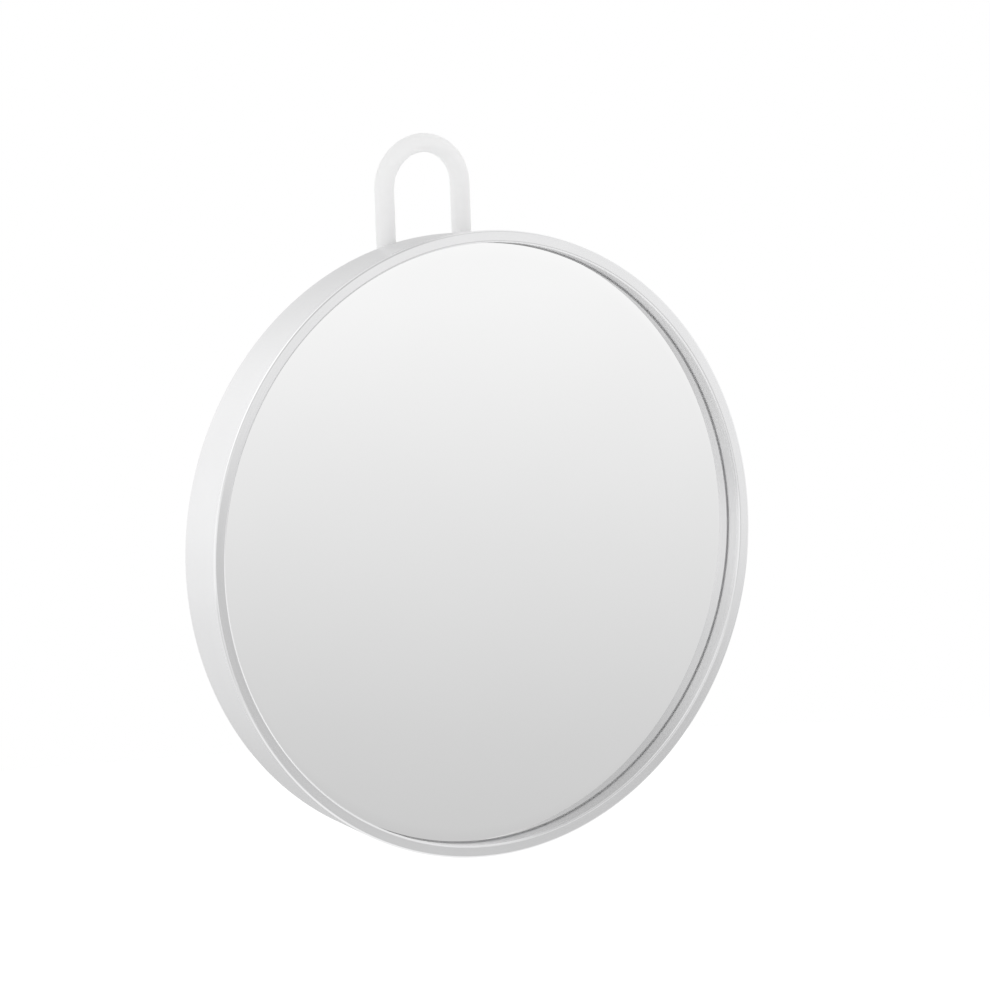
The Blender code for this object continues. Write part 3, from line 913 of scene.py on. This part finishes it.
# %% Surroundings
front_stops = [(-1, 0.5), (-0.3, 0.75), (-0.15, 1.0), (0.1, 1.0), (0.3, 0.8)]
front_stops += [(0.5, 0.66), (0.7, 0.66), (1, 0.8)]
back_rise_stops = [(-1, 0.8), (-0.45, 0.88), (0.0, 1.0), (0.4, 1.05), (1, 1.1)]
back_turn_stops = [(-1, 1.12), (-0.35, 1.1), (0.0, 0.98), (0.3, 0.78), (0.5, 0.68), (0.7, 0.9), (1, 0.9)]
side_turn_stops = [(-1, 0.1), (-0.6, 0.1), (-0.42, 0), (0.6, 0), (0.76, 0.2), (1, 0.2)]
side_rise_stops = [(-1, 0), (-0.4, 0), (-0.25, 1), (0.4, 1), (0.6, 0), (1, 0)]
top_turn_stops = [(-1, 0.3), (-0.45, 0.3), (-0.2, 0.06), (0, 0), (0.34, 0), (0.5, 0.32), (1, 0.32)]
top_rise_stops = [(-1, 0), (0.3, 0), (0.55, 1), (1, 1)]
soft_stops = [(-1, 0.97), (0, 0.97), (1, 0.76)]

world = bpy.data.worlds.new("studio_surroundings")
bpy.context.scene.world = world
tree = empty_tree(world)
heading = add_node(tree, "SeparateXYZ", _0=add_node(tree, "TexCoord").outputs["Generated"]).outputs


def patch(turn_stops, rise_stops):
    """A level by the direction's x times a level by its height."""
    across, upwards = ramp(tree, heading["X"], turn_stops), ramp(tree, heading["Z"], rise_stops)
    return mixed_colour(tree, "MULTIPLY", upwards, across)


front_level = ramp(tree, heading["Z"], front_stops)
behind = ramp(tree, heading["Y"], [(-1, 0), (-0.25, 0), (0.25, 1), (1, 1)])
level = mixed_colour(tree, "MIX", front_level, patch(back_turn_stops, back_rise_stops), behind)
level = mixed_colour(tree, "ADD", level, patch(side_turn_stops, side_rise_stops))
level = mixed_colour(tree, "ADD", level, patch(top_turn_stops, top_rise_stops))
ray, mirrored_ray = ray_kinds(tree)
soft_light = add_node(tree, "Background", Color=ramp(tree, heading["Z"], soft_stops), Strength=1.0).outputs[0]
reflected = add_node(tree, "Background", Color=level, Strength=1.0).outputs[0]
white = add_node(tree, "Background", Color=(1, 1, 1, 1), Strength=1.0).outputs[0]
lit = add_node(tree, "MixShader", _0=mirrored_ray, _1=soft_light, _2=reflected).outputs[0]
seen = add_node(tree, "MixShader", _0=ray["Is Camera Ray"], _1=lit, _2=white).outputs[0]
tree.links.new(seen, add_node(tree, "OutputWorld").inputs["Surface"])
print("surroundings", len(tree.nodes), "nodes")

# %% [markdown]
# ## The floor
#
# The mirror hangs well above a pale floor. The floor is a diffuse white that keeps the soft shadow,
# topped up with a little light of its own, so that the camera sees it white and the dull surfaces
# above it get some light back. Metal and glass see a top-up of their own, as brighter areas: one
# behind the mirror at the left, one in front of it and one right under it. They stand for the white
# table and papers round a product picture.

# %% Floor finish
floor_grey, camera_glow, bounce_glow = 0.83, 0.42, 0.36
floor_finish = bpy.data.materials.new("pale_studio_floor")
tree = empty_tree(floor_finish)
ray, mirrored_ray = ray_kinds(tree)
floor_point = add_node(tree, "TexCoord").outputs["Object"]
spot = add_node(tree, "SeparateXYZ", _0=floor_point).outputs
far = add_node(tree, "VectorMath", {"operation": "LENGTH"}, _0=floor_point).outputs["Value"]
to_the_left = ranged(tree, spot["X"], 1.0, 0.0, -0.12, 0.04)
behind_glow = calculated(tree, "MULTIPLY", ranged(tree, spot["Y"], 0.04, 0.27, -0.1, 0.3), to_the_left)
far_glow = ranged(tree, far, 0.0, 0.1, 0.38, 0.56)
left_glow = ranged(tree, spot["X"], 0.25, 0.0, -0.14, 0.0)
near_glow = ranged(tree, far, 0.34, 0.0, 0.35, 0.41)
front_glow = calculated(tree, "MAXIMUM", calculated(tree, "MAXIMUM", far_glow, left_glow), near_glow)
front_glow = calculated(tree, "MULTIPLY", front_glow, ranged(tree, spot["Y"], 1.0, 0.0, -0.2, -0.1))
not_right = ranged(tree, spot["X"], 1.0, 0.0, 0.15, 0.3)
not_behind = ranged(tree, spot["Y"], 1.0, 0.0, 0.05, 0.15)
under_glow = ranged(tree, far, 0.42, 0.0, 0.32, 0.44)
under_glow = calculated(tree, "MULTIPLY", under_glow, calculated(tree, "MULTIPLY", not_right, not_behind))
front_glow = calculated(tree, "MAXIMUM", front_glow, under_glow)
brighter = calculated(tree, "MAXIMUM", behind_glow, front_glow)
mirrored_glow = calculated(tree, "MULTIPLY", mirrored_ray, brighter)
seen_glow = calculated(tree, "MULTIPLY", ray["Is Camera Ray"], camera_glow)
seen_glow = calculated(tree, "MULTIPLY_ADD", ray["Is Diffuse Ray"], bounce_glow, seen_glow)
glow = calculated(tree, "ADD", seen_glow, mirrored_glow)
diffuse = add_node(tree, "BsdfDiffuse", Color=(floor_grey, floor_grey, floor_grey, 1)).outputs[0]
top_up = add_node(tree, "Emission", Color=(1, 1, 1, 1), Strength=glow).outputs[0]
both = add_node(tree, "AddShader", _0=diffuse, _1=top_up).outputs[0]
tree.links.new(both, add_node(tree, "OutputMaterial").inputs["Surface"])
print("floor finish", len(tree.nodes), "nodes")

# %% [markdown]
# ## A disc for the floor
#
# The floor is flat, so four rows of points are enough.

# %% Floor
floor_depth, floor_radius, floor_steps = 0.25, 0.9, 96
spokes = np.arange(floor_steps) * 2 * math.pi / floor_steps
rings = np.linspace(0, floor_radius, 4)[:, None]
floor_level = np.full((len(rings), floor_steps), -floor_depth)
floor_points = np.stack([rings * np.cos(spokes), rings * np.sin(spokes), floor_level], -1)
floor_faces = grid_faces(len(rings), floor_steps)
floor_mesh = mesh_from_arrays("studio_floor", floor_points.reshape(-1, 3), floor_faces)
floor = show("studio_floor", floor_mesh, floor_finish)

# %% [markdown]
# ## The card that the mirror looks at
#
# The glass and the front of the ring face a curved card that stands at the right of the camera. Its
# upper part is white and its lower part light grey, and the slanting change between them is what the glass
# shows as a soft gradient and the ring as a lighter upper half. It is near, so each point of the
# mirror sees another place on it, which a far world can't give. Only reflections see it, and it fades
# out at both ends.

# %% Card finish
card_radius, card_top, card_slant = 0.73, 0.26, 0.308
card_stops = [(-300, 1.0), (-110, 0.95), (-60, 0.62), (-15, 0.615), (6.9, 0.64)]
card_stops += [(21.4, 1.05), (45, 1.02), (600, 1.0)]
dim_rise_stops = [(-400, 0), (140, 0), (190, 0.45), (400, 0.45)]
dim_turn_stops = [(0, 1), (400, 1), (480, 0), (800, 0)]
fade_stops = [(0, 0), (140, 1), (500, 1), (640, 0), (700, 0)]
card_finish = bpy.data.materials.new("curved_card")
tree = empty_tree(card_finish)
spot = add_node(tree, "SeparateXYZ", _0=object_point(tree, axis_point)).outputs
turn_angle = calculated(tree, "ARCTAN2", spot["X"], calculated(tree, "MULTIPLY", spot["Y"], -1.0))
slanted = calculated(tree, "MULTIPLY_ADD", turn_angle, card_slant * card_radius / mm, spot["Z"])
dim_rise, dim_turn = ramp(tree, spot["Z"], dim_rise_stops), ramp(tree, spot["X"], dim_turn_stops)
dimmed = mixed_colour(tree, "MULTIPLY", dim_rise, dim_turn)
kept_share = mixed_colour(tree, "SUBTRACT", (1, 1, 1, 1), dimmed)
card_level = mixed_colour(tree, "MULTIPLY", ramp(tree, slanted, card_stops), kept_share)
glow = add_node(tree, "Emission", Color=card_level, Strength=1.0).outputs[0]
clear = add_node(tree, "BsdfTransparent").outputs[0]
faded = ramp(tree, spot["X"], fade_stops)
mixed = add_node(tree, "MixShader", _0=faded, _1=clear, _2=glow).outputs[0]
tree.links.new(mixed, add_node(tree, "OutputMaterial").inputs["Surface"])
print("card finish", len(tree.nodes), "nodes")

# %% [markdown]
# ## The sheet of the card
#
# The card is part of an upright cylinder with the mirror in its middle: x and y are the radius times
# the sine and cosine of the turn, from straight in front to 80 degrees at the right. Two rows of
# points carry it from the floor to above the mirror.

# %% Curved card
card_sweep, card_columns = 80, 33
card_turn = np.radians(np.linspace(0, card_sweep, card_columns))
card_rows = np.array([[-floor_depth], [axis_z + card_top]])
card_x = card_radius * np.sin(card_turn) + 0 * card_rows
card_y = front_y - card_radius * np.cos(card_turn) + 0 * card_rows
card_points = np.stack([card_x, card_y, card_rows + 0 * card_turn], -1)
card_faces = grid_faces(2, card_columns).reshape(1, card_columns, 4)[:, :-1].reshape(-1, 4)
card_mesh = mesh_from_arrays("curved_card", card_points.reshape(-1, 3), card_faces)
card = show("curved_card", card_mesh, card_finish)
card.visible_camera = card.visible_diffuse = card.visible_shadow = False

# %% [markdown]
# ## A lamp
#
# The surroundings light the mirror evenly from all sides, which is nearly enough. One weak softbox in
# front and above gives the cord and the inner wall of the ring a little more form. It is hidden from
# reflections, which would show its edges.


# %% Softbox
def softbox(name, position, target, size, power):
    """A soft lamp of (width, height) at a place, turned so that it shines at a target."""
    data = bpy.data.lights.new(name, "AREA")
    data.shape, data.size, data.size_y, data.energy = "RECTANGLE", *size, power
    away = np.array(position, float) - np.array(target, float)
    away /= np.linalg.norm(away)
    side = np.cross((0, 0, 1), away)
    side /= np.linalg.norm(side)
    lamp = stand(name, data, side, np.cross(away, side), away, position)
    lamp.visible_camera = False
    return lamp


overhead_turn, overhead_rise, overhead_distance = np.radians(35), np.radians(27), 0.36
overhead = disc_centre + overhead_distance * away_from_mirror(overhead_turn, overhead_rise)
upper_edge = disc_centre + np.array([0, 0, rim_radius * mm])
lamp_size, lamp_power = (0.46, 0.2), 0.008
overhead_lamp = softbox("overhead_softbox", overhead, upper_edge, lamp_size, lamp_power)
overhead_lamp.visible_glossy = False

# %% [markdown]
# ## Last lines
#
# The picture's colours go out through the Standard view transform.

# %% Looks and the end
bpy.context.scene.view_settings.view_transform = "Standard"
